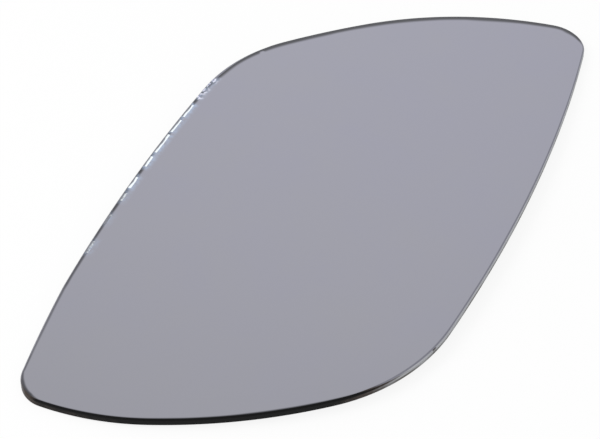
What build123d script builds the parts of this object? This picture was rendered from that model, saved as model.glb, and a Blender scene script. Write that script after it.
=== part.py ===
from build123d import *

import os
from math import sqrt

# Convex glass of a car's door mirror: one pane, coated on its back, with its edge ground by hand.
# +X runs along the two long flanks, +Y up the glass as it hangs on the door, +Z out of the reflecting face.
# The pane lies on its rim, and the origin is on that surface, under the middle of the outline.

# The outline's four corners before rounding, by the lengths of its sides along the flanks and across them
tip_span = 183.6
flank_spacing = 89.4
top_flank = 132.0
bottom_flank = 143.6

# The top flank bends at a slight hip, and each short end swells to a knee, where two arcs run together
hip_along = 34.4
hip_out = 3.9
right_knee_along = 38.8
right_knee_out = 9.7
left_knee_along = 64.9
left_knee_out = 10.8

# How far the outline's arcs stand out from their chords
tip_to_hip_bow = 0.3
hip_to_shoulder_bow = 1.9
right_end_bow = 0.8
bottom_flank_bow = 6.0
left_end_bow = 4.0

# Rounding of the corners
upper_tip_radius = 8.5
hip_radius = 44.0
shoulder_radius = 43.0
lower_tip_radius = 10.3
heel_radius = 49.0

# The pane is an even sheet bent to a sphere, with the sharp edges of its wall taken off
face_radius = 1400.0
thickness = 2.2
front_arris = 0.4
back_arris = 0.3

# Flats that the grinding belt left along the top flank: share of the flank from the hip, and length
flat_reach = 1.3
flat_tilt = 4.0
flats = ((0.73, 5.6), (0.66, 5.9), (0.58, 7.9), (0.5, 4.4), (0.41, 4.8), (0.35, 3.2), (0.26, 4.0), (0.15, 4.6))

# Flakes chipped out of the rim beside the shoulder: share of the same flank
flake_radius = 1.6
flake_depth = 0.3
flakes = (0.88, 0.86, 0.83, 0.8)


def beside(start, end, along, out):
    """The point that lies along the straight line from start to end, and out to the left of it."""
    run = (end - start).normalized()
    return start + run * along + run.rotate(Axis.Z, 90) * out


def rim_plane(edge, share, inset):
    """Plane on the front face, inside an edge of the outline: x points out over the rim, z out of the glass."""
    along = edge % share
    arm = edge @ share + along.rotate(Axis.Z, -90) * inset - middle
    normal = Vector(arm.X, arm.Y, sqrt(face_radius**2 - arm.length**2))
    return Plane(origin=sphere_centre + normal, x_dir=normal.cross(along), z_dir=normal)


upper_tip = Vector(0, flank_spacing)
shoulder = Vector(top_flank, flank_spacing)
lower_tip = Vector(tip_span, 0)
heel = Vector(tip_span - bottom_flank, 0)
hip = beside(upper_tip, shoulder, hip_along, hip_out)
right_knee = beside(shoulder, lower_tip, right_knee_along, right_knee_out)
left_knee = beside(heel, upper_tip, left_knee_along, left_knee_out)
roundings = (
    (upper_tip, upper_tip_radius),
    (hip, hip_radius),
    (shoulder, shoulder_radius),
    (lower_tip, lower_tip_radius),
    (heel, heel_radius),
)

with BuildPart() as pane:
    with BuildSketch() as outline:
        with BuildLine():
            SagittaArc(upper_tip, hip, tip_to_hip_bow)
            flank = SagittaArc(hip, shoulder, hip_to_shoulder_bow)
            right_end = SagittaArc(shoulder, right_knee, right_end_bow)
            TangentArc(right_knee, lower_tip, tangent=right_end % 1)
            SagittaArc(lower_tip, heel, bottom_flank_bow)
            left_end = SagittaArc(heel, left_knee, left_end_bow)
            TangentArc(left_knee, upper_tip, tangent=left_end % 1)
        make_face()
        for corner, radius in roundings:
            fillet(outline.vertices().sort_by_distance(corner)[0], radius)

    # The sheet between two spheres about one centre, with a blank deep enough to reach the rim's lowest point
    outline_box = outline.sketch.bounding_box()
    middle = outline_box.center()
    sphere_centre = Vector(middle.X, middle.Y, -face_radius)
    rim_drop = face_radius - sqrt(face_radius**2 - (outline_box.diagonal / 2) ** 2)
    extrude(amount=-(rim_drop + thickness))
    with Locations(sphere_centre):
        Sphere(face_radius, rotation=(90, 0, 0), mode=Mode.INTERSECT)
        Sphere(face_radius - thickness, rotation=(90, 0, 0), mode=Mode.SUBTRACT)
    back, front = pane.faces().filter_by(GeomType.SPHERE).sort_by(Axis.Z)
    chamfer(front.edges(), front_arris)
    chamfer(back.edges(), back_arris)

    for share, length in flats:
        with Locations(rim_plane(flank, share, flat_reach)):
            Box(
                4 * flat_reach,
                length,
                flat_reach,
                rotation=(0, flat_tilt, 0),
                align=(Align.CENTER, Align.CENTER, Align.MIN),
                mode=Mode.SUBTRACT,
            )
    for share in flakes:
        with Locations(rim_plane(flank, share, 0).offset(flake_radius - flake_depth)):
            Sphere(flake_radius, mode=Mode.SUBTRACT)

# The finished pane, set down on its rim about the middle of its box
with BuildPart() as mirror_glass:
    pane_box = pane.part.bounding_box()
    with Locations((-pane_box.center().X, -pane_box.center().Y, -pane_box.min.Z)):
        add(pane.part)

os.makedirs("parts", exist_ok=True)
mirror_glass.part.label = "mirror_glass"
export_step(mirror_glass.part, "parts/mirror_glass.step")
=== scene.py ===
"""Dresses a car door mirror glass: a chromium mirror pane with a ground edge, in a plain studio.

The file is laid out as an add-on and is run as a script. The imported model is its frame, in metres.
"""

from collections import namedtuple
from functools import partial
from math import atan2, ceil, cos, radians, sin, sqrt, tan, tau

import bmesh
import bpy
from bpy.props import FloatProperty, FloatVectorProperty, PointerProperty
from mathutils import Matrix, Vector
from mathutils.geometry import intersect_sphere_sphere_2d


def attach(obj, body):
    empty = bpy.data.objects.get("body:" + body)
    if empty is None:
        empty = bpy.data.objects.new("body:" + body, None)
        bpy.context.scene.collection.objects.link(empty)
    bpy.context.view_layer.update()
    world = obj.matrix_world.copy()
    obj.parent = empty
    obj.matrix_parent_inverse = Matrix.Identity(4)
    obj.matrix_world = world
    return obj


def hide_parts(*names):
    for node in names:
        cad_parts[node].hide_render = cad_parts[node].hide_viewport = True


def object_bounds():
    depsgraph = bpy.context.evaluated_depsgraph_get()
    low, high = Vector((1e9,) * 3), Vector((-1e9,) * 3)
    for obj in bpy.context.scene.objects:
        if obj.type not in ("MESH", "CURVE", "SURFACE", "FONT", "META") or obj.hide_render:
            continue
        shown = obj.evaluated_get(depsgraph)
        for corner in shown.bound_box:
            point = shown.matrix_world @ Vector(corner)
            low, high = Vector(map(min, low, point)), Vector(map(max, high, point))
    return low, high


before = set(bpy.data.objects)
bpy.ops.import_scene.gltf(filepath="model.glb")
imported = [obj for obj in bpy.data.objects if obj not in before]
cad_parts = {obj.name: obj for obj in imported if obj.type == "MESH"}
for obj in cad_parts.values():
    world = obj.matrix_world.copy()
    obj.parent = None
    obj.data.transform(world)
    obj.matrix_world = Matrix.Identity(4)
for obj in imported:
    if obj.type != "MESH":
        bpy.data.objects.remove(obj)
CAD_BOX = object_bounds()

bl_info = {
    "name": "Door Mirror Glass",
    "version": (1, 0, 0),
    "blender": (4, 5, 0),
    "location": "3D View > Sidebar > Mirror Glass",
    "description": "Builds a car door mirror glass with its ground edge, and a studio to show it in",
    "category": "Object",
}

MM = 0.001
NODE = "mirror_glass"
BOX_TOLERANCE = 0.2 * MM
GLASS_IOR = 1.52
# Most values of a noise lie between these
NOISE_SPREAD = {"From Min": 0.35, "From Max": 0.65}
# The camera shows nothing nearer than this share of its distance
NEAR_CLIP_SHARE = 0.1

# Flats that the belt left along the top flank: share of the flank from the hip, length, and how frosted
FLATS = (
    (0.73, 5.6 * MM, 1.0),
    (0.66, 5.9 * MM, 1.0),
    (0.58, 7.9 * MM, 1.0),
    (0.5, 4.4 * MM, 1.0),
    (0.41, 4.8 * MM, 0.85),
    (0.35, 3.2 * MM, 0.52),
    (0.26, 4.0 * MM, 0.25),
    (0.15, 4.6 * MM, 0.45),
)
# Flakes chipped out of the rim beside the shoulder: share of the same flank
FLAKES = (0.88, 0.86, 0.83, 0.8)
# Glass dust and painted glow beside the flats and the flakes, the glow being the lit cuts seen in the coat:
# how thick it lies, and how far it thins out past their ends
FLAT_DUST = 0.7
FLAT_DUST_FADE = 1.5 * MM
FLAKE_DUST = 0.4
FLAKE_DUST_FADE = 0.75 * MM
# How far the cracks of the flakes run in
CRACK_REACH = 2.4 * MM

# The mesh: spacing of its spokes along the rim, and insets of the rings on its front and back
SPOKE_SPACING = 0.3 * MM
FRONT_RINGS = (6.0 * MM, 4.5 * MM, 3.4 * MM, 2.6 * MM, 2.0 * MM, 1.6 * MM)
COLLAR = 1.1 * MM
BACK_RING = 6.0 * MM
# Bands of faces across a cut or the collar, and over the edge: front arris, wall and back arris
CUT_STEPS = 3
EDGE_STEPS = 3
# The grid inside the rings, and the angle from which an edge is sharp
GRID_STEP = 6.0 * MM
SHARP_ANGLE = radians(4)
# The pane's materials in their order, and what a vertex says of the rim that it belongs to
MIRROR, EDGE, FLAT, FLAKE, BACK = range(5)
RIM_VALUES = ("sealed", "smeared", "darkening", "dark_reach", "worn", "frost", "haze", "cracked")

# The dark edge on the coat is painted reflection: the wall seen through the glass and mirrored by the coat.
# It is a line all round: its reach, and how dark it is
DARK_LINE = 0.45 * MM
DARK_LINE_SHARE = 0.6
# It widens towards one side of the pane: power of its fall, and cosine from which it is darkest
DARK_FALL = 0.65
DARK_FULL_FROM = 0.36
# It is wider beside the black wall too: how black the wall is where that comes and is full, and its reach
SEALED_DARK_COMES = (0.5, 0.85)
SEALED_DARK_REACH = 0.65 * MM

# Marks on the rim are placed by the angle from +X that the edge faces
# Gaps in the dark edge: their middle and half width, and the share of its reach that is lost
DARK_GAPS = ((radians(55.3), radians(1.3), 0.3), (0.0, radians(20), 0.15))
# Darkness over the upper tip: where there is none and where it is full, on both sides
SMEAR_COMES = (radians(96), radians(97.2))
SMEAR_GOES = (radians(200), radians(158))
# Its reach, and how black the wall is from where it reaches that far
SMEAR_REACH = 1.05 * MM
SMEAR_WIDE_FROM = 0.45
# How dark it is, and how that grows with the black of the wall
SMEAR_SHARE = 0.6
SMEAR_GROWTH = 0.65
# Wear between flats and shoulder: where there is none and where it is full, on both sides
WEAR_COMES = (radians(84.5), radians(81))
WEAR_GOES = (radians(50), radians(74))
# How much it widens the front arris, and how far it moves the dark edge in
WEAR_WIDTH = 0.5 * MM
WEAR_DARK_SHIFT = 0.25 * MM
# A darker mark on the heel's wall: its middle and half width, and how black the wall is there
DRIP = (radians(253.6), radians(1.3))
DRIP_SEALED = 0.34

Arc = namedtuple("Arc", "centre radius start end")
Spoke = namedtuple("Spoke", "point facing section cut rim")


def linear(hex_code):
    """An sRGB hex colour as linear red, green and blue."""
    channels = [int(hex_code[i : i + 2], 16) / 255 for i in (1, 3, 5)]
    return tuple(c / 12.92 if c <= 0.04045 else ((c + 0.055) / 1.055) ** 2.4 for c in channels)


def number(name, description, value, **options):
    """A number that the user can set, zero or more."""
    return FloatProperty(name=name, description=description, default=value, min=0.0, **options)


def size(name, description, millimetres):
    """A length that the user can set, given in millimetres and kept in metres."""
    return number(name, description, millimetres * MM, unit="LENGTH", precision=5)


def angle(name, description, degrees):
    """An angle that the user can set, given in degrees."""
    return FloatProperty(name=name, description=description, default=radians(degrees), subtype="ANGLE")


def colour(name, description, hex_code):
    """A colour that the user can set."""
    return FloatVectorProperty(
        name=name, description=description, default=linear(hex_code), subtype="COLOR", min=0.0, max=1.0
    )


class MirrorGlassOutline(bpy.types.PropertyGroup):
    """Sizes of the pane's outline: four corners, a hip, two knees, and the arcs between them"""

    tip_span: size("Tip span", "Length between the two pointed tips, along the flanks", 183.6)
    flank_spacing: size("Flank spacing", "Distance across the pane between its flanks' corners", 89.4)
    top_flank: size("Top flank", "Length of the top flank between its corners", 132.0)
    bottom_flank: size("Bottom flank", "Length of the bottom flank between its corners", 143.6)
    hip_along: size("Hip along", "Distance of the hip from the upper tip, along the top flank", 34.4)
    hip_out: size("Hip out", "How far the hip stands out from the top flank", 3.9)
    right_knee_along: size("Right knee along", "Distance of the right knee from the shoulder", 38.8)
    right_knee_out: size("Right knee out", "How far the right knee stands out from the right end", 9.7)
    left_knee_along: size("Left knee along", "Distance of the left knee from the heel", 64.9)
    left_knee_out: size("Left knee out", "How far the left knee stands out from the left end", 10.8)
    tip_to_hip_bow: size("Tip to hip bow", "How far the arc from upper tip to hip stands out", 0.3)
    hip_to_shoulder_bow: size("Hip to shoulder bow", "How far the arc from hip to shoulder stands out", 1.9)
    right_end_bow: size("Right end bow", "How far the arc from shoulder to right knee stands out", 0.8)
    bottom_flank_bow: size("Bottom flank bow", "How far the bottom flank stands out", 6.0)
    left_end_bow: size("Left end bow", "How far the arc from heel to left knee stands out", 4.0)
    upper_tip_radius: size("Upper tip radius", "Rounding of the upper tip", 8.5)
    hip_radius: size("Hip radius", "Rounding of the hip", 44.0)
    shoulder_radius: size("Shoulder radius", "Rounding of the shoulder", 43.0)
    lower_tip_radius: size("Lower tip radius", "Rounding of the lower tip", 10.3)
    heel_radius: size("Heel radius", "Rounding of the heel", 49.0)


class MirrorGlassPane(bpy.types.PropertyGroup):
    """Sizes of the bent sheet and of what the grinding took off its edge"""

    face_radius: size("Face radius", "Radius of the sphere that the front face is bent to", 1400.0)
    thickness: size("Thickness", "Thickness of the glass", 2.2)
    front_arris: size("Front arris", "Width of the flat ground on the front edge", 0.4)
    back_arris: size("Back arris", "Width of the flat ground on the back edge", 0.3)
    flat_reach: size("Flat reach", "How far a flat reaches in from the rim", 1.3)
    flat_tilt: angle("Flat tilt", "Tilt of a flat to the front face", 4.0)
    flake_radius: size("Flake radius", "Radius of a flake's hollow", 1.6)
    flake_depth: size("Flake depth", "Depth of a flake at the rim", 0.3)


class MirrorGlassFinish(bpy.types.PropertyGroup):
    """Colours of the pane, where its wall is black, and where the painted dark reflection lies on its edge
    """

    coat: colour("Mirror coat", "Chromium coat seen through the glass", "#9393A2")
    # Painted reflection: the room's tint mirrored in the coat, more neutral towards the upper tip
    coat_cloud: colour("Neutral coat", "The coat towards the upper tip, a shade more neutral", "#95959F")
    # Painted reflection: the dark wall seen through the glass and mirrored, laid on the coat's edge and on
    # the arris
    coat_edge: colour("Coat edge", "The coat's edge gone dark beside the wall", "#31323A")
    # Glass dust and painted glow: the lit cuts seen in the coat beside them; the grit of the flats takes
    # this colour too
    haze: colour("Grinding haze", "Dust of glass left beside the flats", "#A5B4CE")
    ground_wall: colour("Ground wall", "Wall of the pane, ground matt", "#B6B8BC")
    ground_line: colour("Grinding line", "Coarser lines along the wall", "#9E9FA4")
    ground_arris: colour("Ground arris", "Narrow bevels along the front and back edges", "#80808C")
    # Darker colour towards the foot of the wall
    grime: colour("Grime", "Grinding sludge dried on the foot of the wall", "#54504A")
    # Black along one side of the wall, brown where that thins
    sealer: colour("Edge sealer", "Black lacquer brushed on the wall", "#0C0C0D")
    thin_sealer: colour("Thin sealer", "Where the sealer runs thin and brown", "#403935")
    fresh_cut: colour("Fresh cut", "Frosted glass of the flats", "#F4FBFF")
    # Clear glass of the flats, dark with the painted reflection of the wall seen through it
    clear_cut: colour("Clear cut", "Flats where they are clear down to the coat", "#74767F")
    flake: colour("Flake", "Hollow of a flake, clear down to the coat", "#8E92AC")
    # Painted glint: light caught on the ridges of a flake and along its cracks
    flake_glint: colour("Flake glint", "Bright ridges of a flake", "#E6E8FA")
    backing: colour("Backing paint", "Paint that protects the coat", "#303134")
    backing_speck: colour("Backing speck", "Paler pigment in the backing paint", "#4A4B4F")
    # Where the wall is black: where that starts and is full at the tip, and where it is full and runs out
    # at the heel
    tip_thin_from: angle("Thin from", "Facing, from +X, from which sealer builds up at the tip", 58.0)
    tip_full_from: angle("Full from", "Facing on the left end from which the sealer is full", 208.0)
    heel_full_to: angle("Full to", "Facing at the heel where the sealer is still full", 216.0)
    heel_thin_to: angle("Thin to", "Facing at the heel where the sealer has run out", 246.5)
    # Where the painted dark reflection on the coat's edge is widest, and its greatest reach
    darkened_side: angle("Darkened side", "Direction that the widest dark edge faces, from +X", 20.0)
    darkened_reach: size("Darkened reach", "How far the dark coat edge reaches in at most", 2.1)


class MirrorGlassStudio(bpy.types.PropertyGroup):
    """The camera, the key lamp, the dome and the floor"""

    view_azimuth: angle("View azimuth", "Direction of the camera, from +X", -157.545)
    view_elevation: angle("View elevation", "Height of the camera above the horizon", 44.918)
    view_distance: size("View distance", "Distance of the camera from its aim", 547.3)
    view_aim: FloatVectorProperty(
        name="View aim",
        description="Point of the pane at the middle of the picture",
        default=(-13.374 * MM, 2.28 * MM, 5.75 * MM),
        subtype="TRANSLATION",
    )
    lens: number("Lens", "Focal length on a 36 mm sensor, in mm", 126.39)
    key_azimuth: angle("Key azimuth", "Direction of the key lamp, from +X", 118.0)
    key_elevation: angle("Key elevation", "Height of the key lamp above the horizon", 48.0)
    key_distance: size("Key distance", "Distance of the key lamp", 900.0)
    key_size: size("Key size", "Side of the square key lamp", 500.0)
    key_power: number("Key power", "Power of the key lamp", 3.0, unit="POWER")
    glow_azimuth: angle("Glow azimuth", "Direction in which the dome is brightest, from +X", 22.6)
    glow_elevation: angle("Glow elevation", "Height at which the dome is brightest", 39.0)
    glow_spread: angle("Glow spread", "How far from there the dome is brighter", 21.5)
    dome_dim: number("Dome dim", "Level of the dome as it is mirrored", 0.94)
    dome_bright: number("Dome bright", "Level of its brightest place", 1.065)
    dome_level: number("Dome level", "Light of the dome on matt surfaces", 0.8)
    floor: colour("Floor", "Matt white paper", "#F4F4F4")
    floor_width: size("Floor width", "Side of the square floor", 12000.0)
    floor_glow: number("Floor glow", "Share of plain white in the floor as it is seen", 0.88, max=1.0)


class MirrorGlassSettings(bpy.types.PropertyGroup):
    """All that the user can set"""

    outline: PointerProperty(type=MirrorGlassOutline)
    pane: PointerProperty(type=MirrorGlassPane)
    finish: PointerProperty(type=MirrorGlassFinish)
    studio: PointerProperty(type=MirrorGlassStudio)


# Outline: arcs in plan, walked clockwise, each with its centre on the right

def beside(start, end, along, out):
    """The point that lies along the straight line from start to end, and out to the left of it."""
    run = (end - start).normalized()
    return start + run * along + run.orthogonal() * out


def bowed_arc(start, end, bow):
    """The arc from start to end that stands out to the left of its chord."""
    chord = end - start
    radius = (chord.length_squared / 4 + bow**2) / (2 * bow)
    centre = (start + end) / 2 - chord.orthogonal().normalized() * (radius - bow)
    return Arc(centre, radius, start, end)


def following_arc(arc, end):
    """The arc that runs on smoothly from the end of another."""
    inward = (arc.centre - arc.end).normalized()
    chord = end - arc.end
    radius = chord.length_squared / (2 * chord.dot(inward))
    return Arc(arc.end + inward * radius, radius, arc.end, end)


def round_corner(arcs, corner, radius):
    """Puts an arc of a radius in where two arcs meet at a corner, and cuts both back to it."""
    after_index = next(i for i, arc in enumerate(arcs) if arc.start == corner)
    before, after = arcs[after_index - 1], arcs[after_index]
    centres = intersect_sphere_sphere_2d(
        before.centre, before.radius - radius, after.centre, after.radius - radius
    )
    if centres[0] is None:
        raise RuntimeError(f"A radius of {radius / MM:.1f} mm is too large for the corner at {corner}")
    centre = min(centres, key=lambda point: (point - corner).length)
    leave = before.centre + (centre - before.centre).normalized() * before.radius
    join = after.centre + (centre - after.centre).normalized() * after.radius
    arcs[after_index - 1] = before._replace(end=leave)
    arcs[after_index] = after._replace(start=join)
    arcs.insert(after_index, Arc(centre, radius, leave, join))


def outline_arcs(sizes):
    """The arcs of the outline, and the arc of the top flank before its ends are rounded."""
    upper_tip = Vector((0.0, sizes.flank_spacing))
    shoulder = Vector((sizes.top_flank, sizes.flank_spacing))
    lower_tip = Vector((sizes.tip_span, 0.0))
    heel = Vector((sizes.tip_span - sizes.bottom_flank, 0.0))
    hip = beside(upper_tip, shoulder, sizes.hip_along, sizes.hip_out)
    right_knee = beside(shoulder, lower_tip, sizes.right_knee_along, sizes.right_knee_out)
    left_knee = beside(heel, upper_tip, sizes.left_knee_along, sizes.left_knee_out)

    flank = bowed_arc(hip, shoulder, sizes.hip_to_shoulder_bow)
    right_end = bowed_arc(shoulder, right_knee, sizes.right_end_bow)
    left_end = bowed_arc(heel, left_knee, sizes.left_end_bow)
    arcs = [
        bowed_arc(upper_tip, hip, sizes.tip_to_hip_bow),
        flank,
        right_end,
        following_arc(right_end, lower_tip),
        bowed_arc(lower_tip, heel, sizes.bottom_flank_bow),
        left_end,
        following_arc(left_end, upper_tip),
    ]
    round_corner(arcs, upper_tip, sizes.upper_tip_radius)
    round_corner(arcs, hip, sizes.hip_radius)
    round_corner(arcs, shoulder, sizes.shoulder_radius)
    round_corner(arcs, lower_tip, sizes.lower_tip_radius)
    round_corner(arcs, heel, sizes.heel_radius)
    return arcs, flank


def heading(turned):
    """The direction in plan that is turned by an angle from +X."""
    return Vector((cos(turned), sin(turned)))


def point_on(arc, share):
    """The point of an arc at a share of its length, and the direction that faces out from it."""
    first = arc.start - arc.centre
    facing = heading(atan2(first.y, first.x) - share * first.angle_signed(arc.end - arc.centre))
    return arc.centre + facing * arc.radius, facing


def walk(arcs, spacing):
    """Points at about an even spacing along the arcs, each with the direction that faces out from it."""
    for arc in arcs:
        sweep = (arc.start - arc.centre).angle(arc.end - arc.centre)
        steps = ceil(sweep * arc.radius / spacing)
        for step in range(steps):
            yield point_on(arc, step / steps)


# Pane: spokes over the rim, from the front rings across the arris and the wall to the back

def stepped(outer, inner, depth_at):
    """Insets from the outer to the inner side of a cut, each with its depth below the front face."""
    insets = [outer + (inner - outer) * step / CUT_STEPS for step in range(CUT_STEPS + 1)]
    return [(inset, depth_at(inset)) for inset in insets]


def whole_section(pane, worn):
    """The section of a rim without a cut: the face as far as the arris, which is wider where worn."""
    return stepped(pane.front_arris + worn * WEAR_WIDTH, COLLAR, lambda inset: 0.0)


def flat_section(pane):
    """The section of a flat, which meets the face at its reach and the arris near the rim."""
    slope = tan(pane.flat_tilt)
    outer = (pane.front_arris - pane.flat_reach * slope) / (1 - slope)
    return stepped(outer, pane.flat_reach, lambda inset: (pane.flat_reach - inset) * slope)


def flake_section(pane, offset):
    """The section of a flake's hollow at an offset along the rim from its middle, or None past its end."""
    radius_squared = pane.flake_radius**2 - offset**2
    centre_height = pane.flake_radius - pane.flake_depth
    if radius_squared - centre_height**2 <= pane.front_arris**2:
        return None
    over_arris = centre_height + pane.front_arris
    outer = (over_arris - sqrt(2 * radius_squared - over_arris**2)) / 2
    inner = sqrt(radius_squared - centre_height**2)
    return stepped(outer, inner, lambda inset: sqrt(radius_squared - inset**2) - centre_height)


def share_between(none_at, full_at, value):
    """How far a value lies on the way from one to the other, from 0 to 1."""
    return min(max((value - none_at) / (full_at - none_at), 0.0), 1.0)


def mark(middle, half_width, facing):
    """How strong a mark on the rim is where the edge faces a direction: full in its middle half."""
    return share_between(half_width, half_width / 2, facing.angle(heading(middle)))


def rim_finish(finish, facing):
    """How black the wall is, how far the painted dark reflection reaches in on the coat, and how the rim is
    worn, where it faces a direction.
    """
    turned = atan2(facing.y, facing.x) % tau
    sealed = min(
        share_between(finish.tip_thin_from, finish.tip_full_from, turned),
        share_between(finish.heel_thin_to, finish.heel_full_to, turned),
    )
    smear = min(share_between(*SMEAR_COMES, turned), share_between(*SMEAR_GOES, turned))
    to_dark_side = max(facing.dot(heading(finish.darkened_side)), 0.0)
    wide_dark = to_dark_side**DARK_FALL * finish.darkened_reach
    for middle, half_width, share in DARK_GAPS:
        wide_dark *= 1 - share * mark(middle, half_width, facing)
    worn = min(share_between(*WEAR_COMES, turned), share_between(*WEAR_GOES, turned))
    return {
        "sealed": max(sealed, DRIP_SEALED * mark(*DRIP, facing)),
        "smeared": smear,
        "darkening": max(
            DARK_LINE_SHARE,
            share_between(0.0, DARK_FULL_FROM, to_dark_side),
            share_between(*SEALED_DARK_COMES, sealed),
            smear * min(SMEAR_SHARE + SMEAR_GROWTH * sealed, 1.0),
        ),
        "dark_reach": max(
            DARK_LINE,
            wide_dark + worn * WEAR_DARK_SHIFT,
            sealed * SEALED_DARK_REACH,
            smear * SMEAR_REACH * share_between(0.0, SMEAR_WIDE_FROM, sealed),
        ),
        "worn": worn,
        "frost": 0.0,
        "haze": 0.0,
        "cracked": 0.0,
    }


def make_spokes(sizes, pane, finish):
    """One spoke for each point of the outline, with the section and the finish that the rim has there."""
    arcs, flank = outline_arcs(sizes)
    flats = [(point_on(flank, share)[0], length / 2, frost) for share, length, frost in FLATS]
    flakes = [point_on(flank, share)[0] for share in FLAKES]
    spokes = []
    for point, facing in walk(arcs, SPOKE_SPACING):
        rim = rim_finish(finish, facing)
        section, cut = whole_section(pane, rim["worn"]), MIRROR
        for place, half_length, frost in flats:
            offset = (point - place).length
            nearness = share_between(half_length + FLAT_DUST_FADE, half_length, offset)
            rim["haze"] = max(rim["haze"], FLAT_DUST * frost * nearness)
            if offset < half_length:
                section, cut = flat_section(pane), FLAT
                rim["frost"] = frost
        for place in flakes:
            offset = (point - place).length
            nearness = share_between(pane.flake_radius + FLAKE_DUST_FADE, pane.flake_radius / 2, offset)
            rim["haze"] = max(rim["haze"], FLAKE_DUST * nearness)
            rim["cracked"] = max(rim["cracked"], nearness)
            hollow = flake_section(pane, offset)
            if hollow:
                section, cut = hollow, FLAKE
                rim["worn"] = 1.0
        spokes.append(Spoke(point, facing, section, cut, rim))
    return spokes


def centred(spokes):
    """The spokes moved so that the outline's box has its middle at the origin."""
    low = Vector((min(s.point.x for s in spokes), min(s.point.y for s in spokes)))
    high = Vector((max(s.point.x for s in spokes), max(s.point.y for s in spokes)))
    return [s._replace(point=s.point - (low + high) / 2) for s in spokes]


def sphere_height(radius, top, place):
    """Height of a sphere, with its top at a height over the origin, at a place in plan."""
    return sqrt(radius**2 - place.x**2 - place.y**2) - radius + top


def add_cap(mesh, ring, material, height_at):
    """Closes a ring of vertices with a face cut into a grid, laid on the sphere that it belongs to."""
    cap = [mesh.faces.new(ring)]
    cap[0].material_index = material
    for axis in (Vector((1, 0, 0)), Vector((0, 1, 0))):
        reach = max(abs(vert.co.dot(axis)) for vert in ring)
        lines = int(reach / GRID_STEP)
        for line in range(-lines, lines + 1):
            edges = {edge for face in cap for edge in face.edges}
            verts = {vert for face in cap for vert in face.verts}
            split = bmesh.ops.bisect_plane(
                mesh, geom=[*cap, *edges, *verts], plane_co=axis * (line * GRID_STEP), plane_no=axis
            )
            cap = [item for item in split["geom"] if isinstance(item, bmesh.types.BMFace)]
    for vert in {vert for face in cap for vert in face.verts}:
        vert.co.z = height_at(vert.co)


def build_pane_mesh(sizes, pane, finish):
    """The pane as one closed mesh, with each face's finish and how each vertex lies to the rim."""
    spokes = centred(make_spokes(sizes, pane, finish))
    mesh = bmesh.new()
    layers = {name: mesh.verts.layers.float.new(name) for name in ("rim_inset", "rim_depth", *RIM_VALUES)}

    def front_height(place):
        return sphere_height(pane.face_radius, 0.0, place)

    def back_height(place):
        return sphere_height(pane.face_radius - pane.thickness, -pane.thickness, place)

    spoke_verts = []
    for spoke in spokes:
        section = [(inset, front_height, 0.0) for inset in FRONT_RINGS]
        section += [(inset, front_height, -depth) for inset, depth in reversed(spoke.section)]
        section += [
            (0.0, front_height, -pane.front_arris),
            (0.0, back_height, pane.back_arris),
            (pane.back_arris, back_height, 0.0),
            (BACK_RING, back_height, 0.0),
        ]
        verts = []
        for inset, height_at, lift in section:
            place = spoke.point - spoke.facing * inset
            vert = mesh.verts.new((place.x, place.y, height_at(place) + lift))
            depth_share = (front_height(place) - vert.co.z) / pane.thickness
            values = {"rim_inset": inset, "rim_depth": depth_share, **spoke.rim}
            for name, value in values.items():
                vert[layers[name]] = value
            verts.append(vert)
        spoke_verts.append(verts)

    cut_bands = range(len(FRONT_RINGS), len(FRONT_RINGS) + CUT_STEPS)
    edge_bands = range(cut_bands.stop, cut_bands.stop + EDGE_STEPS)
    for index, verts in enumerate(spoke_verts):
        before = spoke_verts[index - 1]
        cut = min(spokes[index].cut, spokes[index - 1].cut)
        for band in range(len(verts) - 1):
            face = mesh.faces.new((verts[band], before[band], before[band + 1], verts[band + 1]))
            if band in cut_bands:
                face.material_index = cut
            elif band in edge_bands:
                face.material_index = EDGE
            elif band >= edge_bands.stop:
                face.material_index = BACK
    add_cap(mesh, [verts[0] for verts in reversed(spoke_verts)], MIRROR, front_height)
    add_cap(mesh, [verts[-1] for verts in spoke_verts], BACK, back_height)

    lowest = min(vert.co.z for vert in mesh.verts)
    bmesh.ops.translate(mesh, verts=mesh.verts, vec=(0, 0, -lowest))
    mesh.normal_update()
    for face in mesh.faces:
        face.smooth = True
    for edge in mesh.edges:
        materials = {face.material_index for face in edge.link_faces}
        edge.smooth = len(materials) == 1 and edge.calc_face_angle() < SHARP_ANGLE
    return mesh


def check_fit(mesh):
    """Stops the build if the pane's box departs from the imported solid's."""
    for axis in range(3):
        places = [vert.co[axis] for vert in mesh.verts]
        for built, packed in zip((min(places), max(places)), (corner[axis] for corner in CAD_BOX)):
            if abs(built - packed) > BOX_TOLERANCE:
                ends = f"{built / MM:.2f} mm, not at {packed / MM:.2f} mm"
                raise RuntimeError(f"On axis {axis} the pane ends at {ends}")


# Materials

def rgba(colour_value):
    """A colour property as a node socket takes it."""
    return (*colour_value, 1.0)


def add_node(tree, kind, output=None, inputs=None, **settings):
    """Adds a node with its settings, sets or links its inputs, and gives the output that is asked for."""
    node = tree.nodes.new("ShaderNode" + kind)
    for name, value in settings.items():
        setattr(node, name, value)
    for name, value in (inputs or {}).items():
        if isinstance(value, bpy.types.NodeSocket):
            tree.links.new(value, node.inputs[name])
        else:
            node.inputs[name].default_value = value
    return output and node.outputs[output]


def new_material(name):
    """An empty material, and the function that adds nodes to it."""
    material = bpy.data.materials.new(name)
    material.use_nodes = True
    material.node_tree.nodes.clear()
    return material, partial(add_node, material.node_tree)


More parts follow.
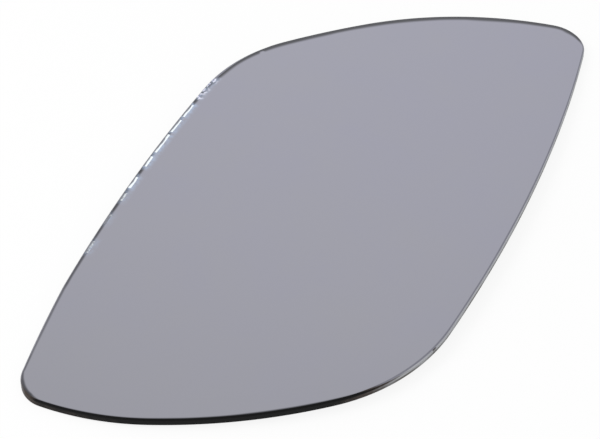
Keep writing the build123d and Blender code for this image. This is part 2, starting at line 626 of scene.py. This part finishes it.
def mirror_coat(finish):
    """Chromium sputtered on the back of float glass: a rather dark, lilac mirror under a gloss skin."""
    material, add = new_material("chromium_coat_under_glass")
    place = add("TexCoord", "Object")
    inset = add("Attribute", "Fac", attribute_name="rim_inset")

    # The coat turns more neutral along the pane, a painted reflection of the room's tint, in clouds of
    # random tone about 14 mm across that shift where it does
    cloud_shift = 150 * MM
    turning = {"From Min": -15 * MM, "From Max": 165 * MM}
    cloud = add("TexNoise", "Fac", {"Vector": place, "Scale": 1 / (14 * MM), "Roughness": 0.4})
    along = add("SeparateXYZ", "X", {"Vector": place})
    clouded = add("Math", "Value", {0: cloud, 1: cloud_shift, 2: along}, operation="MULTIPLY_ADD")
    bluer = add("MapRange", "Result", {"Value": clouded, **turning})
    tints = {"Fac": bluer, "Color1": rgba(finish.coat_cloud), "Color2": rgba(finish.coat)}
    tint = add("MixRGB", "Color", tints)

    # A painted reflection darkens the coat's edge, the wall seen through the glass and mirrored: dark for
    # two thirds of its reach, which wavers over 16 mm, and thins to nothing
    reach = add("Attribute", "Fac", attribute_name="dark_reach")
    darkening = add("Attribute", "Fac", attribute_name="darkening")
    step = add("TexNoise", "Fac", {"Vector": place, "Scale": 1 / (16 * MM), "Detail": 1.0})
    unevenness = {"Value": step, **NOISE_SPREAD, "To Min": 0.92, "To Max": 1.08}
    uneven = add("MapRange", "Result", unevenness)
    uneven_reach = add("Math", "Value", {0: reach, 1: uneven}, operation="MULTIPLY")
    reached = add("Math", "Value", {0: inset, 1: uneven_reach}, operation="DIVIDE")
    thinning = {"Value": reached, "From Min": 0.65, "From Max": 1.3, "To Min": darkening, "To Max": 0.0}
    dark = add("MapRange", "Result", thinning, interpolation_type="SMOOTHSTEP")
    edged = add("MixRGB", "Color", {"Fac": dark, "Color1": tint, "Color2": rgba(finish.coat_edge)})

    # Beside the cuts, glass dust and the painted glow of the lit cuts seen in the coat, in streaks about 1
    # mm wide that thin over about 2 mm
    haze = add("Attribute", "Fac", attribute_name="haze")
    streak = add("TexNoise", "Fac", {"Vector": place, "Scale": 1 / (1 * MM)})
    streaks = {"Value": streak, **NOISE_SPREAD, "To Min": 0.25, "To Max": 1.55}
    streaky = add("MapRange", "Result", streaks)
    streaky_haze = add("Math", "Value", {0: haze, 1: streaky}, operation="MULTIPLY")
    settling = {"From Min": 1.0 * MM, "From Max": 3.2 * MM, "To Min": streaky_haze, "To Max": 0.0}
    dust = add("MapRange", "Result", {"Value": inset, **settling}, interpolation_type="SMOOTHSTEP")
    dusted = add("MixRGB", "Color", {"Fac": dust, "Color1": edged, "Color2": rgba(finish.haze)})

    # Cracks about 1.3 mm wide that run in from the flakes, with painted glints that make them bright
    cracked = add("Attribute", "Fac", attribute_name="cracked")
    crack = add("TexNoise", "Fac", {"Vector": place, "Scale": 1 / (1.3 * MM), "Detail": 1.0})
    brightness = {"Value": crack, "From Min": 0.53, "From Max": 0.62, "To Max": cracked}
    bright = add("MapRange", "Result", brightness)
    running_in = {"From Min": 1.0 * MM, "From Max": CRACK_REACH, "To Min": bright, "To Max": 0.0}
    cracks = add("MapRange", "Result", {"Value": inset, **running_in})
    split = add("MixRGB", "Color", {"Fac": cracks, "Color1": dusted, "Color2": rgba(finish.flake_glint)})

    # Wiping left the gloss uneven in smears about 40 mm long
    wiping = {"Vector": place, "Scale": 1 / (40 * MM), "Detail": 4.0, "Distortion": 1.2}
    wiped = add("TexNoise", "Fac", wiping)
    roughness = add("MapRange", "Result", {"Value": wiped, "To Min": 0.015, "To Max": 0.05})
    gloss = {"Coat Weight": 1.0, "Coat IOR": GLASS_IOR, "Coat Roughness": 0.02}
    coat = {"Base Color": split, "Metallic": 1.0, "Roughness": roughness, **gloss}
    add("OutputMaterial", inputs={"Surface": add("BsdfPrincipled", "BSDF", coat)})
    return material


def ground_edge(finish):
    """Float glass ground with a diamond belt: matt grey, lined along the wall, and black along one side."""
    material, add = new_material("ground_glass_edge")
    place = add("TexCoord", "Object")

    # Lines that the belt left, 7 mm long and 0.2 mm high, which is coarser than the real ones, to show
    line_size = (1 / (7 * MM), 1 / (7 * MM), 1 / (0.2 * MM))
    stretched = add("Mapping", "Vector", {"Vector": place, "Scale": line_size})
    line = add("TexNoise", "Fac", {"Vector": stretched, "Scale": 1.0, "Detail": 3.0})
    lined = add("MapRange", "Result", {"Value": line, "From Min": 0.35, "From Max": 0.7})
    lines = {"Fac": lined, "Color1": rgba(finish.ground_wall), "Color2": rgba(finish.ground_line)}
    wall = add("MixRGB", "Color", lines)

    # The foot of the wall is darker, in patches about 6 mm long
    depth = add("Attribute", "Fac", attribute_name="rim_depth")
    patch = add("TexNoise", "Fac", {"Vector": place, "Scale": 1 / (6 * MM)})
    patchy = add("MapRange", "Result", {"Value": patch, "From Min": 0.2, "From Max": 0.55, "To Max": 0.9})
    low = {"Value": depth, "From Min": 0.37, "From Max": 0.67, "To Max": patchy}
    foot = add("MapRange", "Result", low, interpolation_type="SMOOTHSTEP")
    grimy = add("MixRGB", "Color", {"Fac": foot, "Color1": wall, "Color2": rgba(finish.grime)})

    # The arris is a shade darker, and takes the painted dark reflection of the wall from the coat's edge
    # unless it is worn
    inset = add("Attribute", "Fac", attribute_name="rim_inset")
    on_arris = add("MapRange", "Result", {"Value": inset, "From Min": 0.1 * MM, "From Max": 0.2 * MM})
    worn = add("Attribute", "Fac", attribute_name="worn")
    clearness = add("MapRange", "Result", {"Value": worn, "To Min": 0.75, "To Max": 0.0})
    darkening = add("Attribute", "Fac", attribute_name="darkening")
    through = {"Value": darkening, "From Min": DARK_LINE_SHARE, "To Max": clearness}
    shade = add("MapRange", "Result", through)
    bevel = {"Fac": shade, "Color1": rgba(finish.ground_arris), "Color2": rgba(finish.coat_edge)}
    arris = add("MixRGB", "Color", bevel)
    ground = add("MixRGB", "Color", {"Fac": on_arris, "Color1": grimy, "Color2": arris})

    # Black on one side of the wall: where thin it stops half up the arris, except at the upper tip
    sealed = add("Attribute", "Fac", attribute_name="sealed")
    smeared = add("Attribute", "Fac", attribute_name="smeared")
    lacking = {"To Min": -0.5, "To Max": 0.0}
    lack = add("MapRange", "Result", {"Value": smeared, **lacking})
    stopping = {"From Min": 0.1 * MM, "From Max": 0.25 * MM, "To Max": lack}
    bare = add("MapRange", "Result", {"Value": inset, **stopping})
    held = add("MapRange", "Result", {"Value": sealed, "To Min": bare})

    # It is stronger along the front edge, but not at the upper tip
    gain = add("MapRange", "Result", {"Value": smeared, "To Min": 1.75, "To Max": 1.0})
    gathering = {"Value": depth, "From Min": 0.16, "From Max": 0.36, "To Min": gain, "To Max": 1.0}
    gathered = add("MapRange", "Result", gathering)
    brushed = add("Math", "Value", {0: held, 1: gathered}, operation="MULTIPLY")

    # It ends in rags of about 2 mm, first brown and then black
    rag = add("TexNoise", "Fac", {"Vector": place, "Scale": 1 / (2 * MM)})
    rag_share = 0.25
    ragged = add("Math", "Value", {0: rag, 1: rag_share, 2: brushed}, operation="MULTIPLY_ADD")
    thin = add("MapRange", "Result", {"Value": ragged, "From Min": 0.35, "From Max": 0.725})
    full = add("MapRange", "Result", {"Value": ragged, "From Min": 0.77, "From Max": 1.03})
    browned = add("MixRGB", "Color", {"Fac": thin, "Color1": ground, "Color2": rgba(finish.thin_sealer)})
    blackened = add("MixRGB", "Color", {"Fac": full, "Color1": browned, "Color2": rgba(finish.sealer)})

    bump = add("Bump", "Normal", {"Strength": 0.3, "Distance": 0.02 * MM, "Height": line})
    matt = {"Roughness": 0.55, "IOR": GLASS_IOR, "Specular IOR Level": 0.1}
    surface = add("BsdfPrincipled", "BSDF", {"Base Color": blackened, "Normal": bump, **matt})
    add("OutputMaterial", inputs={"Surface": surface})
    return material


def frosted_flat(finish):
    """Glass laid bare by the belt: a white frost between a clear outer side, dark with the painted
    reflection of the wall, and an inner one with glass dust and painted glow.
    """
    material, add = new_material("frosted_glass_flat")
    place = add("TexCoord", "Object")

    # Patches of frost about 0.6 mm across, which run together where the belt bit most
    frost = add("Attribute", "Fac", attribute_name="frost")
    patch = add("TexNoise", "Fac", {"Vector": place, "Scale": 1 / (0.6 * MM)})
    patch_share = 0.8
    bitten = add("Math", "Value", {0: patch, 1: patch_share, 2: frost}, operation="MULTIPLY_ADD")
    patchy = add("MapRange", "Result", {"Value": bitten, "From Min": 0.7, "From Max": 1.1})
    laid_bare = {"Fac": patchy, "Color1": rgba(finish.clear_cut), "Color2": rgba(finish.fresh_cut)}
    frosted = add("MixRGB", "Color", laid_bare)

    # Grit of about 0.15 mm, which is coarser than the belt's, to show
    grit = add("TexNoise", "Fac", {"Vector": place, "Scale": 1 / (0.15 * MM)})
    coarse = add("MapRange", "Result", {"Value": grit, "From Min": 0.5, "From Max": 0.9, "To Max": 0.5})
    gritty = add("MixRGB", "Color", {"Fac": coarse, "Color1": frosted, "Color2": rgba(finish.haze)})

    # The outer side stays clear, dark with the painted reflection of the wall seen through it, and the
    # inner one takes glass dust and painted glow, to lines that waver over about 3 mm
    inset = add("Attribute", "Fac", attribute_name="rim_inset")
    waver = add("TexNoise", "Fac", {"Vector": place, "Scale": 1 / (3 * MM), "Detail": 1.0})
    waver_width = 1.0 * MM
    wavering = add("Math", "Value", {0: waver, 1: waver_width, 2: inset}, operation="MULTIPLY_ADD")
    lit = add("MapRange", "Result", {"Value": wavering, "From Min": 1.1 * MM, "From Max": 1.35 * MM})
    outlined = add("MixRGB", "Color", {"Fac": lit, "Color1": rgba(finish.clear_cut), "Color2": gritty})
    dusty = add("MapRange", "Result", {"Value": wavering, "From Min": 1.7 * MM, "From Max": 2.0 * MM})
    dusted = add("MixRGB", "Color", {"Fac": dusty, "Color1": outlined, "Color2": rgba(finish.haze)})

    bump = add("Bump", "Normal", {"Strength": 0.4, "Distance": 0.02 * MM, "Height": grit})
    surface = {"Base Color": dusted, "Roughness": 0.4, "IOR": GLASS_IOR, "Normal": bump}
    add("OutputMaterial", inputs={"Surface": add("BsdfPrincipled", "BSDF", surface)})
    return material


def chipped_flake(finish):
    """Glass broken out in small shells: glossy and clear down to the coat, with painted glints on its
    ridges.
    """
    material, add = new_material("chipped_glass_flake")

    # Ridges about 1.2 mm apart, with painted glints on them
    place = add("TexCoord", "Object")
    ridge = add("TexNoise", "Fac", {"Vector": place, "Scale": 1 / (1.2 * MM), "Distortion": 1.0})
    bright = add("MapRange", "Result", {"Value": ridge, "From Min": 0.55, "From Max": 0.61})
    shell = {"Fac": bright, "Color1": rgba(finish.flake), "Color2": rgba(finish.flake_glint)}
    glinting = add("MixRGB", "Color", shell)

    bump = add("Bump", "Normal", {"Strength": 0.4, "Distance": 0.05 * MM, "Height": ridge})
    surface = {"Base Color": glinting, "Roughness": 0.2, "IOR": GLASS_IOR, "Normal": bump}
    add("OutputMaterial", inputs={"Surface": add("BsdfPrincipled", "BSDF", surface)})
    return material


def backing_paint(finish):
    """Lacquer sprayed over the coat: dark grey and half matt, with paler clouds and dimples of spray."""
    material, add = new_material("sprayed_backing_paint")
    place = add("TexCoord", "Object")

    # Clouds of pigment about 4 mm across
    clouds = {"Vector": place, "Scale": 1 / (4 * MM), "Detail": 5.0, "Roughness": 0.7}
    speck = add("TexNoise", "Fac", clouds)
    specked = add("MapRange", "Result", {"Value": speck, "From Min": 0.45, "From Max": 0.8})
    pigment = {"Fac": specked, "Color1": rgba(finish.backing), "Color2": rgba(finish.backing_speck)}
    paint = add("MixRGB", "Color", pigment)

    # Dimples about 1.2 mm apart
    dimple = add("TexNoise", "Fac", {"Vector": place, "Scale": 1 / (1.2 * MM)})
    roughness = add("MapRange", "Result", {"Value": dimple, "To Min": 0.42, "To Max": 0.58})
    bump = add("Bump", "Normal", {"Strength": 0.5, "Distance": 0.03 * MM, "Height": dimple})
    surface = add("BsdfPrincipled", "BSDF", {"Base Color": paint, "Roughness": roughness, "Normal": bump})
    add("OutputMaterial", inputs={"Surface": surface})
    return material


# Studio

def seen_share(add):
    """1 for rays by which the eye sees a surface, directly, mirrored or through glass, and else 0."""
    seen = add("LightPath", "Is Camera Ray")
    for name in ("Is Glossy Ray", "Is Transmission Ray"):
        seen = add("Math", "Value", {0: seen, 1: add("LightPath", name)}, operation="MAXIMUM")
    return seen


def paper_floor(studio):
    """Matt white paper that the eye sees mostly as plain white, and that keeps a soft shadow."""
    material, add = new_material("white_paper_floor")
    share = add("Math", "Value", {0: seen_share(add), 1: studio.floor_glow}, operation="MULTIPLY")
    matt = add("BsdfDiffuse", "BSDF", {"Color": rgba(studio.floor)})
    white = add("Emission", "Emission", {"Strength": 1.0})
    mixed = add("MixShader", "Shader", {"Fac": share, 1: matt, 2: white})
    add("OutputMaterial", inputs={"Surface": mixed})
    return material


def upward(azimuth, elevation):
    """The direction at an azimuth from +X and an elevation above the horizon."""
    return Vector((cos(elevation) * cos(azimuth), cos(elevation) * sin(azimuth), sin(elevation)))


def light_dome(studio):
    """The world: white to the eye, a shade brighter about one direction, and dimmer for matt surfaces."""
    world = bpy.data.worlds.new("studio_dome")
    world.use_nodes = True
    world.node_tree.nodes.clear()
    add = partial(add_node, world.node_tree)
    direction = add("TexCoord", "Generated")
    glow = upward(studio.glow_azimuth, studio.glow_elevation)
    toward = add("VectorMath", "Value", {0: direction, 1: glow}, operation="DOT_PRODUCT")
    glowing = {
        "Value": toward,
        "From Min": cos(studio.glow_spread),
        "To Min": studio.dome_dim,
        "To Max": studio.dome_bright,
    }
    white = add("MapRange", "Result", glowing)
    levels = {"Value": seen_share(add), "To Min": studio.dome_level, "To Max": white}
    strength = add("MapRange", "Result", levels)
    dome = add("Background", "Background", {"Color": (1.0, 1.0, 1.0, 1.0), "Strength": strength})
    add("OutputWorld", inputs={"Surface": dome})
    return world


def show(name, data):
    """Adds an object to the scene."""
    piece = bpy.data.objects.new(name, data)
    bpy.context.scene.collection.objects.link(piece)
    return piece


def look_from(piece, offset, aim):
    """Puts a camera or lamp at an offset from a point, turned to it."""
    piece.location = aim + offset
    piece.rotation_mode = "QUATERNION"
    piece.rotation_quaternion = offset.to_track_quat("Z", "Y")


class MIRROR_GLASS_OT_build_pane(bpy.types.Operator):
    """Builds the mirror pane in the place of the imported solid"""

    bl_idname = "mirror_glass.build_pane"
    bl_label = "Build Pane"

    def execute(self, context):
        settings = context.scene.mirror_glass
        mesh = build_pane_mesh(settings.outline, settings.pane, settings.finish)
        check_fit(mesh)
        data = bpy.data.meshes.new("mirror_pane")
        mesh.to_mesh(data)
        mesh.free()
        for make_material in (mirror_coat, ground_edge, frosted_flat, chipped_flake, backing_paint):
            data.materials.append(make_material(settings.finish))
        pane = show("mirror_pane", data)
        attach(pane, "root")
        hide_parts(NODE)
        return {"FINISHED"}


class MIRROR_GLASS_OT_set_stage(bpy.types.Operator):
    """Sets the floor, the dome, the key lamp and the camera"""

    bl_idname = "mirror_glass.set_stage"
    bl_label = "Set Stage"

    def execute(self, context):
        scene = context.scene
        studio = scene.mirror_glass.studio
        data = bpy.data.meshes.new("floor")
        mesh = bmesh.new()
        bmesh.ops.create_grid(mesh, size=studio.floor_width / 2)
        mesh.to_mesh(data)
        mesh.free()
        data.materials.append(paper_floor(studio))
        show("floor", data)
        scene.world = light_dome(studio)

        aim = Vector(studio.view_aim)
        lamp = bpy.data.lights.new("key", "AREA")
        lamp.size = studio.key_size
        lamp.energy = studio.key_power
        toward_key = upward(studio.key_azimuth, studio.key_elevation)
        look_from(show("key", lamp), toward_key * studio.key_distance, aim)

        camera = bpy.data.cameras.new("camera")
        camera.lens = studio.lens
        camera.clip_start = studio.view_distance * NEAR_CLIP_SHARE
        toward_camera = upward(studio.view_azimuth, studio.view_elevation)
        scene.camera = show("camera", camera)
        look_from(scene.camera, toward_camera * studio.view_distance, aim)
        scene.view_settings.view_transform = "Standard"
        return {"FINISHED"}


class MIRROR_GLASS_PT_panel(bpy.types.Panel):
    """Sizes, colours and steps of the mirror glass"""

    bl_idname = "MIRROR_GLASS_PT_panel"
    bl_label = "Mirror Glass"
    bl_space_type = "VIEW_3D"
    bl_region_type = "UI"
    bl_category = "Mirror Glass"

    def draw(self, context):
        settings = context.scene.mirror_glass
        for group in (settings.outline, settings.pane, settings.finish, settings.studio):
            box = self.layout.box()
            for name in group.bl_rna.properties.keys():
                if name not in ("rna_type", "name"):
                    box.prop(group, name)
        self.layout.operator(MIRROR_GLASS_OT_build_pane.bl_idname)
        self.layout.operator(MIRROR_GLASS_OT_set_stage.bl_idname)


CLASSES = (
    MirrorGlassOutline,
    MirrorGlassPane,
    MirrorGlassFinish,
    MirrorGlassStudio,
    MirrorGlassSettings,
    MIRROR_GLASS_OT_build_pane,
    MIRROR_GLASS_OT_set_stage,
    MIRROR_GLASS_PT_panel,
)


def register():
    """Adds the classes and the settings to Blender."""
    for entry in CLASSES:
        bpy.utils.register_class(entry)
    bpy.types.Scene.mirror_glass = PointerProperty(type=MirrorGlassSettings)


def unregister():
    """Takes the settings and the classes out again."""
    del bpy.types.Scene.mirror_glass
    for entry in reversed(CLASSES):
        bpy.utils.unregister_class(entry)


def main():
    """Registers the add-on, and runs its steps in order."""
    register()
    bpy.ops.mirror_glass.build_pane()
    bpy.ops.mirror_glass.set_stage()


if __name__ == "__main__":
    main()
